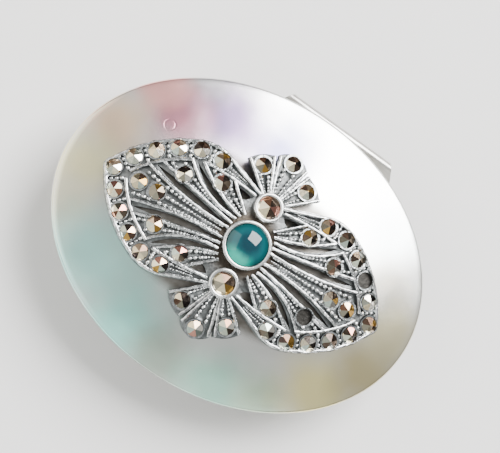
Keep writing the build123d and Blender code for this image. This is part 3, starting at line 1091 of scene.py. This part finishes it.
@dataclass
class Plaque:
    """The pierced plaque: cast ground, beaded ridges, and grains between and beside the stones."""

    arch: Arch
    wire: float = 0.18 * MM
    wire_height: float = 0.90 * MM
    wire_step: float = 0.35 * MM
    fewest_steps: int = 3
    wire_sides: int = 10
    bead: float = 0.17 * MM
    bead_height: float = 0.82 * MM
    grain: float = 0.25 * MM
    grain_height: float = 0.74 * MM
    # Grains between two border stones: millimetres out from the border's middle line and along it, and size
    border_cluster: tuple[tuple[float, float, float], ...] = (
        (0.75, 0.22, 1.0),
        (0.75, -0.22, 1.0),
        (-0.72, 0.0, 1.0),
        (0.28, 0.0, 0.8),
        (-0.22, 0.0, 0.8),
    )
    # Grains at the bend, in millimetres out from its middle line
    bend_row: tuple[float, ...] = (-0.75, -0.25, 0.3, 0.8)
    stone_room: float = 0.85 * MM
    narrowest_field: float = 0.55 * MM
    bead_pitch: float = 2.25
    bead_fill: float = 0.42
    bead_limits: tuple[float, float] = (0.6, 1.35)
    bead_spread: tuple[float, float] = (0.85, 1.15)
    bead_overhang: float = 0.7
    bead_shape: Spot = (1.18, 0.92)
    jitter: float = 0.03 * MM
    reach_in: float = 0.34 * MM
    seat_clearance: float = 0.9 * MM
    draws: random.Random = field(default_factory=lambda: random.Random(5))
    seats: list[Vector] = field(default_factory=list)
    fan_y: float = 4.23 * MM
    fan_start: float = 1.55 * MM
    petals: tuple[tuple[float, float, float], ...] = (
        (0.0, math.radians(17.9), 5.5 * MM),
        (math.radians(35.6), math.radians(15.4), 5.35 * MM),
        (math.radians(-35.6), math.radians(15.4), 5.35 * MM),
    )
    edge_soften: float = 0.035 * MM

    def ridges(self) -> list[Ridge]:
        """List the raised lines of one quarter of the wings.

        Returns:
            The ridges.
        """
        a = self.arch
        edge = a.border_outer - 0.2 * MM
        bend = a.bend_radius + a.border_half_width - 0.2 * MM

        def arc(centre: Vector, radius: float, first: float, last: float) -> Ridge:
            """Give a ridge from an arc's centre, radius and turns."""
            return Ridge(
                centre + a.polar(radius, first),
                centre + a.polar(radius, (first + last) / 2),
                centre + a.polar(radius, last),
            )

        def line(*places: float) -> Ridge:
            """Give a ridge through three places, in millimetres."""
            x = [p * MM for p in places]
            return Ridge(Vector(x[0:2]), Vector(x[2:4]), Vector(x[4:6]))

        step = a.border_pitch / a.border_radius
        rim_end = a.bend_centre + a.polar(bend, a.bend_start + a.bend_turn)
        tail_end = Vector((1.35 * MM, 5.1 * MM))
        sag = Vector((0.05 * MM, -0.06 * MM))
        return [
            arc(a.border_centre, edge, a.tip_turn + 0.01, a.bend_start),
            arc(a.bend_centre, bend, a.bend_start, a.bend_start + a.bend_turn),
            Ridge(rim_end, (rim_end + tail_end) / 2 + sag, tail_end),
            arc(
                a.border_centre,
                a.border_radius - a.border_half_width,
                a.border_lean + step / 2,
                a.border_lean + 3.7 * step,
            ),
            line(7.75, 5.0, 5.2, 5.02, 1.7, 4.7),
            line(1.9, 2.8, 2.95, 3.76, 4.2, 4.9),
            line(2.3, 2.22, 5.5, 3.46, 7.75, 5.0),
            line(2.6, 1.72, 5.9, 2.5, 8.85, 4.65),
            line(2.7, 1.18, 7.15, 2.02, 11.2, 2.98),
            line(2.8, 0.58, 7.35, 0.9, 12.15, 2.0),
        ]

    def fan_lines(self) -> list[Ridge]:
        """List the edges of the upper fan's petals.

        Returns:
            The ridges, each very slightly bowed.
        """
        hub = Vector((0, self.fan_y))
        lines = []
        for turn, half_turn, reach in self.petals:
            slip = 0.2 * MM / reach
            for side in (-1, 1):
                lean = math.pi / 2 + turn + side * (half_turn - slip)
                aside = 0.015 * MM * Vector((-math.sin(lean), math.cos(lean)))
                start = hub + Arch.polar(self.fan_start, lean)
                end = hub + Arch.polar(reach, lean)
                lines.append(Ridge(start, (start + end) / 2 + side * aside, end))
        return lines

    def reaching_in(self, ridge: Ridge) -> Ridge:
        """Give a ray that starts a little nearer to the middle collet than the plaque's own ridge.

        Args:
            ridge: The plaque's ridge, from the middle outwards.

        Returns:
            The longer ridge.
        """
        _, radius, _, swept = ridge.circle()
        extra = self.reach_in / (abs(swept) * radius)
        return Ridge(self.along(ridge, -extra), ridge.way, ridge.end)

    def clear_seats(self, wires: Piece) -> None:
        """Press wires that run too near a stone aside, round its seat.

        Args:
            wires: The wires, still flat.
        """
        for vertex in wires.data.vertices:
            place = vertex.co.xy
            for seat in self.seats:
                away = place - seat
                if 0 < away.length < self.seat_clearance:
                    place = seat + away.normalized() * self.seat_clearance
            vertex.co.xy = place

    def wire_along(self, ridge: Ridge) -> Piece:
        """Sweep a round wire along a ridge, flat, at the ridge's height.

        Args:
            ridge: The ridge to follow.

        Returns:
            The wire.
        """
        centre, radius, first, swept = ridge.circle()
        open_circle(
            self.wire_sides, self.wire, (*ridge.start, self.wire_height), (math.pi / 2, 0, first)
        )
        steps = max(self.fewest_steps, round(abs(swept) * radius / self.wire_step))
        bpy.ops.mesh.spin(
            steps=steps, angle=swept, center=(*centre, self.wire_height), axis=(0, 0, SPIN_SIGN)
        )
        wire = close_up("wire")
        close_seams(wire)
        return wire

    def along(self, ridge: Ridge, share: float) -> Vector:
        """Give the place on a ridge at a share of its length."""
        centre, radius, first, swept = ridge.circle()
        return centre + Arch.polar(radius, first + swept * share)

    def field_beads(self, low: Ridge, high: Ridge, rows: Sequence[float]) -> list[Bead]:
        """Fill the field between two ridges with rows of beads that shrink towards the middle.

        Args:
            low: One ridge, from the middle outwards.
            high: The other ridge.
            rows: Each row's share of the way between the ridges.

        Returns:
            The beads, which leave room for the stones.
        """
        beads = []
        smallest, largest = self.bead_limits
        ahead_by = 0.01
        first_share = 0.02
        for row in rows:
            share = first_share
            while share < 1.0:
                here = self.along(low, share)
                there = self.along(high, share)
                place = here.lerp(there, row)
                width = (there - here).length
                room = width / (len(rows) + 1) * self.bead_fill
                radius = min(max(room, self.bead * smallest), self.bead * largest)
                radius *= self.draws.uniform(*self.bead_spread)
                further = share + ahead_by
                ahead = self.along(low, further).lerp(self.along(high, further), row) - place
                clear = min((place - seat).length for seat in self.seats)
                roomy = clear > self.stone_room + radius * self.bead_overhang
                if roomy and width > self.narrowest_field:
                    beads.append(Bead(place, radius, math.atan2(ahead.y, ahead.x)))
                share += self.bead_pitch * radius / (ahead.length / ahead_by)
        return beads

    def grains(self) -> list[Bead]:
        """Give the grains that stand in fours between one quarter's border stones.

        Returns:
            The grains.
        """
        a = self.arch
        step = a.border_pitch / a.border_radius
        spots = []
        for number in range(a.border_stones):
            turn = a.border_lean + (number + 0.5) * step
            for aside, slip, share in self.border_cluster:
                slide = slip * MM / a.border_radius
                reach = a.border_radius + aside * MM
                size = self.grain * share
                spots.append(Bead(a.border_centre + a.polar(reach, turn + slide), size, turn))
        middle = a.bend_start + a.bend_turn / 2
        for aside in self.bend_row:
            place = a.bend_centre + a.polar(a.bend_radius + aside * MM, middle)
            spots.append(Bead(place, self.grain, middle))
        return spots

    def sow(self, beads: Iterable[Bead], height: float, name: str) -> Piece:
        """Set small beads on the plaque.

        Args:
            beads: The beads.
            height: Height of the beads' middles over the arch's underside.
            name: The name of the joined beads.

        Returns:
            The beads as one piece.
        """
        put_down()
        bpy.ops.mesh.primitive_uv_sphere_add(segments=8, ring_count=5, radius=1.0)
        ball = bpy.context.object
        set_beads = []
        for bead in beads:
            long, wide = (share * bead.radius for share in self.bead_shape)
            shape = Matrix.Diagonal((long, wide, bead.radius, 1))
            set_beads.append(copy_of(ball, self.arch.stand(*bead.place, height, bead.turn) @ shape))
        bpy.data.objects.remove(ball)
        return join(set_beads, name)

    def four_ways(self, piece: Piece, name: str) -> Piece:
        """Repeat one quarter's piece in all four quarters.

        Args:
            piece: The quarter's piece.
            name: The name of the joined piece.

        Returns:
            The joined piece.
        """
        copies = [piece]
        for sx, sy in ((-1, 1), (1, -1), (-1, -1)):
            copies.append(copy_of(piece, Matrix.Diagonal((sx, sy, 1, 1))))
        return join(copies, name)

    def build(self) -> None:
        """Build and dress the plaque, its ridges and its beads."""
        a = self.arch
        self.seats = self.seat_places()
        quarter_seats = tuple(tuple(seat) for seat in self.seats if min(seat) > -MERGE)
        material = OxidisedFinish(a.centre, a.radius, seats=quarter_seats).make()
        ground = frame_copy("openwork_plaque", "pierced_plaque", self.edge_soften, 1, 40, 35)
        dress(ground, material, Slot.OXIDISED, Body.BROOCH, "openwork_plaque")
        lines = self.ridges()
        lines = [*lines[:5], *(self.reaching_in(ray) for ray in lines[5:])]
        wing = join([self.wire_along(ridge) for ridge in lines], "wing_wires")
        wires = self.four_ways(wing, "wing_wires")
        fan = join([self.wire_along(ridge) for ridge in self.fan_lines()], "fan_wires")
        fans = join([fan, copy_of(fan, Matrix.Diagonal((1, -1, 1, 1)))], "fan_wires")
        raised = join([wires, fans], "raised_wires")
        self.clear_seats(raised)
        a.drape(raised)
        open_up(raised)
        bpy.ops.transform.vertex_random(offset=self.jitter, uniform=1.0, normal=0.0, seed=3)
        close_up()
        smooth(raised, 70)
        dress(raised, material, Slot.OXIDISED, Body.BROOCH)
        fork, lens_edge, cell_high, cell_low, axis_edge = self.ridges()[5:]
        tail_low = Ridge(*(Vector(spot) * MM for spot in ((2.0, 4.78), (4.5, 5.06), (7.75, 5.1))))
        tail_high = Ridge(*(Vector(spot) * MM for spot in ((2.0, 5.22), (4.3, 5.88), (7.25, 6.75))))
        quarter = self.field_beads(cell_low, cell_high, (0.24, 0.68))
        quarter += self.field_beads(fork, lens_edge, (0.3, 0.72))
        quarter += self.field_beads(tail_low, tail_high, (0.3, 0.7))
        axial = self.field_beads(axis_edge.flipped(), axis_edge, (0.17, 0.5, 0.83))
        fan = []
        petal_edges = self.fan_lines()
        for low, high in zip(petal_edges[::2], petal_edges[1::2]):
            fan += self.field_beads(low, high, (0.27, 0.73))
        beads = [bead.moved(sx, sy) for sx in (-1, 1) for sy in (-1, 1) for bead in quarter]
        beads += [bead.moved(sx, 1) for sx in (-1, 1) for bead in axial]
        beads += [bead.moved(1, sy) for sy in (-1, 1) for bead in fan]
        milgrain = self.sow(beads, self.bead_height, "milgrain")
        smooth(milgrain, 70)
        dress(milgrain, material, Slot.OXIDISED, Body.BROOCH)
        pairs = [bead.moved(sx, sy) for sx in (-1, 1) for sy in (-1, 1) for bead in self.grains()]
        claws = self.sow(pairs, self.grain_height, "border_grains")
        smooth(claws, 70)
        dress(claws, material, Slot.OXIDISED, Body.BROOCH)

    @staticmethod
    def seat_places() -> list[Vector]:
        """List every small seat's place in plan, the empty ones too, from the stones' own places."""
        places = []
        for node in Marcasites.nodes():
            if "large" in node:
                continue
            low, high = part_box(node)
            middle = (low + high) / 2
            places += [Vector((sx * middle.x, sy * middle.y)) for sx in (-1, 1) for sy in (-1, 1)]
        return places


# ------------------------------------------------------------------ the stones and their collets


@dataclass
class Marcasites:
    """The faceted marcasites: small ones in the plaque's seats, two larger in collets."""

    arch: Arch
    radius: float = 0.8 * MM
    base: float = 0.52 * MM
    girdle: float = 0.28 * MM
    crown: float = 0.42 * MM
    large_radius: float = 1.08 * MM
    large_base: float = 0.72 * MM
    large_girdle: float = 0.375 * MM
    large_crown: float = 0.55 * MM
    facets: int = 6
    break_slope: float = math.radians(48)
    table_share: float = 0.05
    seed: int = 11
    # Degrees from +X at which the painted reflections change, and the share of facets that keep to their
    # side's tones
    dark_from: float = 315.0
    dark_until: float = 75.0
    warm_until: float = 165.0
    own_side: float = 0.75
    # Painted reflections, as tones of facets that face along -X and -Y, towards -X and +Y, and towards +X
    cool_reflections: tuple[Colour, ...] = (
        (0.50, 0.52, 0.42),
        (0.62, 0.52, 0.34),
        (0.40, 0.46, 0.40),
        (0.80, 0.72, 0.52),
        (0.22, 0.20, 0.15),
    )
    warm_reflections: tuple[Colour, ...] = (
        (0.30, 0.15, 0.09),
        (0.48, 0.22, 0.17),
        (0.13, 0.075, 0.05),
        (0.62, 0.45, 0.30),
        (0.05, 0.035, 0.03),
    )
    dark_painted: tuple[Colour, ...] = (
        (0.02, 0.016, 0.015),
        (0.08, 0.055, 0.04),
        (0.88, 0.85, 0.76),
        (0.14, 0.11, 0.08),
        (0.42, 0.24, 0.05),
    )

    def cut_stone(self, radius: float, girdle: float, crown: float) -> Piece:
        """Cut one stone: a round blank ground back to six crown facets, six breaks and a small table.

        Args:
            radius: The stone's radius.
            girdle: Height of its upright edge.
            crown: Height of its crown over the edge.

        Returns:
            The stone, base at the origin.
        """
        put_down()
        height = girdle + crown
        bpy.ops.mesh.primitive_cylinder_add(
            vertices=24, radius=radius, depth=height, location=(0, 0, height / 2)
        )
        bpy.ops.object.transform_apply()
        stone = bpy.context.object
        slope = math.atan2(crown * 1.02, radius * 0.98)
        for number in range(self.facets):
            turn = math.tau * number / self.facets
            self.grind(turn, slope, (0, 0, height))
            side = turn + math.pi / self.facets
            edge = Vector((radius * 0.985 * math.cos(side), radius * 0.985 * math.sin(side), girdle))
            self.grind(side, self.break_slope, edge)
        self.grind(0.0, 0.0, (0, 0, height - crown * self.table_share))
        open_up(stone)
        bpy.ops.mesh.remove_doubles(threshold=MERGE)
        bpy.ops.mesh.dissolve_limited(angle_limit=math.radians(1))
        bpy.ops.mesh.normals_make_consistent(inside=False)
        return close_up("stone")

    @staticmethod
    def grind(turn: float, slope: float, through: Iterable[float]) -> None:
        """Grind one flat facet on the active stone.

        Args:
            turn: The way that the facet faces, in plan.
            slope: How far the facet is tilted from level.
            through: A point on the facet.
        """
        normal = (
            math.sin(slope) * math.cos(turn),
            math.sin(slope) * math.sin(turn),
            math.cos(slope),
        )
        bpy.ops.object.mode_set(mode="EDIT")
        bpy.ops.mesh.select_all(action="SELECT")
        bpy.ops.mesh.bisect(
            plane_co=tuple(through), plane_no=normal, use_fill=True, clear_outer=True, threshold=MERGE
        )
        bpy.ops.object.mode_set(mode="OBJECT")

    def tint(self, stone: Piece, draws: random.Random) -> None:
        """Give every facet of a stone a tone of its own: a painted reflection, picked by the way that the
        facet faces and partly at random.

        Args:
            stone: The stone.
            draws: The seeded source of chance.
        """
        layer = stone.data.color_attributes.new("facet", "FLOAT_COLOR", "CORNER")
        for face in stone.data.polygons:
            turn = math.degrees(math.atan2(face.normal.y, face.normal.x)) % 360
            if turn < self.dark_until or turn > self.dark_from:
                side = self.dark_painted
            else:
                side = self.warm_reflections if turn < self.warm_until else self.cool_reflections
            keeps = draws.random() < self.own_side
            family = side if keeps else draws.choice((self.cool_reflections, self.warm_reflections, self.dark_painted))
            tone = draws.choice(family)
            light = draws.uniform(0.85, 1.15)
            for corner in face.loop_indices:
                layer.data[corner].color = (*(light * c for c in tone), 1.0)

    def build(self) -> None:
        """Cut, tint and set every stone that the frame has."""
        material = MarcasiteFinish().make()
        draws = random.Random(self.seed)
        small = self.cut_stone(self.radius, self.girdle, self.crown)
        large = self.cut_stone(self.large_radius, self.large_girdle, self.large_crown)
        for node in self.nodes():
            low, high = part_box(node)
            middle = (low + high) / 2
            big = "large" in node
            base = self.large_base if big else self.base
            place = self.arch.stand(middle.x, middle.y, base, draws.uniform(0, math.tau))
            stone = copy_of(large if big else small, place, node.replace("marcasite", "stone"))
            self.tint(stone, draws)
            dress(stone, material, Slot.MARCASITE, Body.BROOCH, node)
        bpy.data.objects.remove(small)
        bpy.data.objects.remove(large)

    @staticmethod
    def nodes() -> list[str]:
        """List the frame's marcasite nodes by name."""
        return sorted(o.name for o in bpy.data.objects if "marcasite" in o.name)


@dataclass
class Collets:
    """Plain turned collets with rounded lips, and the green stone in the middle one."""

    arch: Arch
    centre_stone: float = 2.07 * MM
    centre_wall: float = 0.4 * MM
    centre_rise: float = 1.75 * MM
    small_stone: float = 1.10 * MM
    small_wall: float = 0.42 * MM
    small_rise: float = 1.45 * MM
    small_y: float = 4.23 * MM
    seat_depth: float = 0.75 * MM
    ledge: float = 0.3 * MM
    foot: float = 0.3 * MM
    segments: int = 72
    lip_steps: int = 6

    def tube(self, name: str, bore: float, wall: float, rise: float) -> Piece:
        """Turn one collet: post, ledge for the stone, and a wall with a rounded lip.

        Args:
            name: The collet's name.
            bore: Inner radius of the wall.
            wall: The wall's thickness.
            rise: Height of the lip over the arch's underside.

        Returns:
            The collet, upright, with the arch's underside at the origin.
        """
        a = self.arch
        drop = a.centre_z + a.radius - a.plate_z(0, 0) + self.foot
        seat = rise - self.seat_depth
        profile = [(bore - self.ledge, -drop), (bore - self.ledge, seat), (bore, seat)]
        half = wall / 2
        for step in range(self.lip_steps + 1):
            turn = math.pi - math.pi * step / self.lip_steps
            profile.append((bore + half + half * math.cos(turn), rise - half + half * math.sin(turn)))
        profile.append((bore + wall, -drop))
        return turned(name, profile, self.segments)

    def build(self) -> None:
        """Turn and dress the three collets."""
        material = SilverFinish(
            name="collet_silver", colour=(0.74, 0.75, 0.74), worn=(0.60, 0.60, 0.57), roughness=0.22
        ).make()
        centre = self.tube("middle_collet", self.centre_stone, self.centre_wall, self.centre_rise)
        centre.data.transform(self.arch.stand(0, 0, 0))
        small = self.tube("end_collet", self.small_stone, self.small_wall, self.small_rise)
        upper = copy_of(small, self.arch.stand(0, self.small_y, 0), "upper_end_collet")
        lower = copy_of(small, self.arch.stand(0, -self.small_y, 0), "lower_end_collet")
        bpy.data.objects.remove(small)
        for piece, node in ((centre, "centre_collet"), (upper, "upper_collet"), (lower, "lower_collet")):
            smooth(piece, 40)
            dress(piece, material, Slot.COLLET, Body.BROOCH, node)


@dataclass
class GreenStone:
    """A low domed stone with facets ground round its shoulder."""

    arch: Arch
    radius: float = 2.05 * MM
    girdle: float = 0.7 * MM
    dome: float = 0.75 * MM
    shoulder_facets: int = 12
    shoulder_slope: float = math.radians(40)
    shoulder_reach: float = 2.04 * MM
    shoulder_rise: float = 0.1 * MM
    segments: int = 96
    rings: int = 16
    # The side that the painted light falls on, in plan
    lit_side: Vector = field(default_factory=lambda: Vector((-0.15, -0.98, 0)))

    def build(self) -> None:
        """Turn the stone, grind its shoulder and dress it."""
        low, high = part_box("green_stone")
        edge = low.z + self.girdle
        ball = (self.radius**2 + self.dome**2) / (2 * self.dome)
        ball_z = edge + self.dome - ball
        profile = [(0.0, low.z), (self.radius, low.z), (self.radius, edge)]
        for number in range(self.rings):
            reach = self.radius * (1 - (number + 1) / self.rings)
            profile.append((reach, ball_z + math.sqrt(ball**2 - reach**2)))
        stone = turned("domed_green_stone", profile, self.segments)
        take(stone)
        for number in range(self.shoulder_facets):
            turn = math.tau * (number + 0.5) / self.shoulder_facets
            through = (*self.arch.polar(self.shoulder_reach, turn), edge + self.shoulder_rise)
            Marcasites.grind(turn, self.shoulder_slope, through)
        close_seams(stone)
        smooth(stone, 18)
        finish = GreenStoneFinish(Vector((0, 0, high.z)), self.radius, self.lit_side)
        dress(stone, finish.make(), Slot.GREEN, Body.BROOCH, "green_stone")


# ------------------------------------------------------------------ the clip


@dataclass
class Clip:
    """The sprung leaf, its bracket and pin, and the coil spring round the pin."""

    coil_turns: int = 6
    coil_pitch: float = 0.58 * MM
    coil_radius: float = 0.85 * MM
    wire: float = 0.25 * MM
    wire_sides: int = 12
    turn_steps: int = 28
    upper_leg: float = math.radians(120)
    lower_leg: float = math.radians(248)
    leg_clearance: float = 0.03 * MM
    leaf_sheet: float = 0.8 * MM
    bracket_sheet: float = 0.6 * MM

    def leg(self, start: Vector, end: Vector, name: str) -> Piece:
        """Draw a straight leg of the spring's wire between two points.

        Args:
            start: Middle of one end.
            end: Middle of the other end.
            name: The leg's name.

        Returns:
            The leg.
        """
        put_down()
        run = end - start
        bpy.ops.mesh.primitive_circle_add(vertices=self.wire_sides, radius=self.wire, fill_type="NGON")
        leg = bpy.context.object
        open_up(leg)
        bpy.ops.mesh.extrude_region_move(TRANSFORM_OT_translate={"value": (0, 0, run.length)})
        close_up(name)
        turn = Vector((0, 0, 1)).rotation_difference(run).to_matrix().to_4x4()
        leg.data.transform(Matrix.Translation(start) @ turn)
        close_seams(leg)
        soften(leg, 0.05 * MM, 2)
        smooth(leg, 45)
        return leg

    def spring(self) -> tuple[Piece, Piece]:
        """Coil the spring round the pin and draw its two legs.

        Returns:
            The coil with its upper leg, and the lower leg.
        """
        joint = next(j for j in self.joints if j["name"] == "leaf_hinge")
        hinge = Vector(joint["pos_m"])
        across = Vector(joint["axis"]).normalized()
        along = Vector((0, 0, 1)).cross(across).normalized()
        sweep = self.coil_turns + (self.lower_leg - self.upper_leg) / math.tau
        length = sweep * self.coil_pitch
        frame = Matrix((across, along, Vector((0, 0, 1)))).transposed().to_4x4()
        open_circle(self.wire_sides, self.wire, (0, self.coil_radius, 0))
        coil = close_up("spring_coil")
        screw = coil.modifiers.new("coil", "SCREW")
        screw.axis = "X"
        screw.angle = sweep * math.tau
        screw.screw_offset = length
        screw.steps = round(self.turn_steps * sweep)
        screw.render_steps = screw.steps
        screw.use_normal_calculate = True
        bpy.ops.object.modifier_apply(modifier=screw.name)
        close_seams(coil)
        start = Matrix.Rotation(self.upper_leg, 4, "X")
        coil.data.transform(
            Matrix.Translation(hinge) @ frame @ Matrix.Translation((-length / 2, 0, 0)) @ start
        )
        smooth(coil, 60)
        top = self.back_z - self.bracket_sheet - self.wire - self.leg_clearance
        bottom = self.leaf_sheet + self.wire + self.leg_clearance

        def leave(turn: float, side: float, level: float, way: int) -> tuple[Vector, Vector]:
            """Give the ends of the leg that leaves the coil at a turn and runs on to a level."""
            spot = hinge + across * side
            spot += self.coil_radius * (math.cos(turn) * along + math.sin(turn) * Vector((0, 0, 1)))
            run = way * (-math.sin(turn) * along + math.cos(turn) * Vector((0, 0, 1)))
            reach = (level - spot.z) / run.z
            return spot, spot + run * reach

        upper = self.leg(*leave(self.upper_leg, -length / 2, top, -1), "spring_upper_leg")
        lower = self.leg(*leave(self.lower_leg, length / 2, bottom, 1), "spring_lower_leg")
        return join([coil, upper], "clip_coil"), lower

    def build(self, frame: dict) -> None:
        """Build and dress the clip's pieces.

        Args:
            frame: The loaded frame.
        """
        self.joints = frame["joints"]
        self.back_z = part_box("dome_plate")[0].z
        silver = SilverFinish(
            name="clip_silver", colour=(0.66, 0.65, 0.62), worn=(0.46, 0.44, 0.40), roughness=0.28
        ).make()
        steel = SteelFinish().make()
        leaf = frame_copy("clip_leaf", "sprung_leaf", 0.08 * MM)
        dress(leaf, silver, Slot.SILVER, Body.LEAF, "clip_leaf")
        bracket = frame_copy("hinge_bracket", "leaf_bracket", 0.06 * MM)
        dress(bracket, silver, Slot.SILVER, Body.BROOCH, "hinge_bracket")
        pin = frame_copy("hinge_pin", "rivet_pin", 0.09 * MM, 3)
        dress(pin, steel, Slot.STEEL, Body.BROOCH, "hinge_pin")
        coil, lower = self.spring()
        dress(coil, steel, Slot.STEEL, Body.BROOCH, "clip_spring")
        dress(lower, steel, Slot.STEEL, Body.LEAF, "clip_spring")


# ------------------------------------------------------------------ the studio


@dataclass
class Lamp:
    """One soft box: the way it stands from the brooch, how far, how large and how bright."""

    name: str
    way: Vector
    distance: float
    size: float
    power: float
    colour: Colour = (1.0, 1.0, 1.0)
    spin: float = 0.0

    def build(self, target: Vector) -> None:
        """Hang the lamp and aim it.

        Args:
            target: What it points at.
        """
        put_down()
        way = self.way.normalized()
        turn = way.to_track_quat("Z", "Y").to_euler()
        turn.rotate_axis("Z", self.spin)
        bpy.ops.object.light_add(type="AREA", location=target + way * self.distance, rotation=turn)
        lamp = bpy.context.object
        lamp.name = self.name
        lamp.data.shape = "SQUARE"
        lamp.data.size = self.size
        lamp.data.energy = self.power
        lamp.data.color = self.colour


@dataclass
class Studio:
    """A pale floor, soft boxes round the brooch, and the camera."""

    arch: Arch
    floor_size: float = 3.0
    camera_roll: float = math.radians(-31.5)
    camera_tilt: Vector = field(default_factory=lambda: Vector((-0.0522, 0.1698, 0)))
    camera_place: Vector = field(default_factory=lambda: Vector((0.9868, 1.8776, 200.0)) * MM)
    lens: float = 143.8
    sensor: float = 36.0
    ceiling: Colour = (0.66, 0.66, 0.66)
    skirting: Colour = (0.16, 0.16, 0.165)
    room_fade: Spot = (0.05, 0.75)
    lamps: tuple[Lamp, ...] = (
        Lamp("window", Vector((0.236, 0.628, 0.741)), 0.6, 0.42, 12.0, spin=math.radians(12)),
        Lamp("left_box", Vector((-1.0, -0.15, 0.5)), 0.9, 1.2, 9.0, (1.0, 0.97, 0.91)),
        Lamp("near_box", Vector((0.0, -1.0, 0.55)), 0.9, 1.2, 4.5, (0.92, 1.0, 0.98)),
    )

    def build(self) -> None:
        """Lay the floor, hang the lamps and place the camera."""
        put_down()
        bpy.ops.mesh.primitive_plane_add(size=self.floor_size)
        floor = close_up("floor")
        floor.data.materials.append(FloorFinish().make())
        target = Vector((0, self.arch.middle_y, self.arch.edge_z))
        for lamp in self.lamps:
            lamp.build(target)
        self.paint_room()
        angle = self.camera_tilt.length
        tilt = Matrix.Rotation(angle, 3, self.camera_tilt.normalized())
        facing = (tilt @ Matrix.Rotation(self.camera_roll, 3, "Z")).transposed()
        place = facing @ self.camera_place + target
        put_down()
        bpy.ops.object.camera_add(location=place, rotation=facing.to_euler())
        camera = bpy.context.object
        camera.name = "camera"
        camera.data.lens = self.lens
        camera.data.sensor_width = self.sensor
        camera.data.clip_start = 0.01
        camera.data.clip_end = 10.0
        camera.data.dof.use_dof = False
        bpy.context.scene.camera = camera

    def paint_room(self) -> None:
        """Light the room softly from above, darker towards the skirting."""
        world = bpy.data.worlds.new("soft_room")
        world.use_nodes = True
        w = Wiring(world.node_tree, "Generated")
        way = w.add("ShaderNodeSeparateXYZ")
        w.feed(way.inputs[0], w.place)
        rise = w.ramp(way.outputs["Z"], *self.room_fade)
        w.feed(w.tree.nodes["Background"].inputs["Color"], w.blend(rise, self.skirting, self.ceiling))
        bpy.context.scene.world = world


def main() -> None:
    """Build the brooch's looks in order, light them and report."""
    logging.basicConfig(level=logging.INFO, format="%(message)s")
    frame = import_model()
    arch = Arch()
    Plate(arch).build()
    Plaque(arch).build()
    Marcasites(arch).build()
    Collets(arch).build()
    GreenStone(arch).build()
    Clip().build(frame)
    Studio(arch).build()
    put_down()


if __name__ == "__main__":
    main()
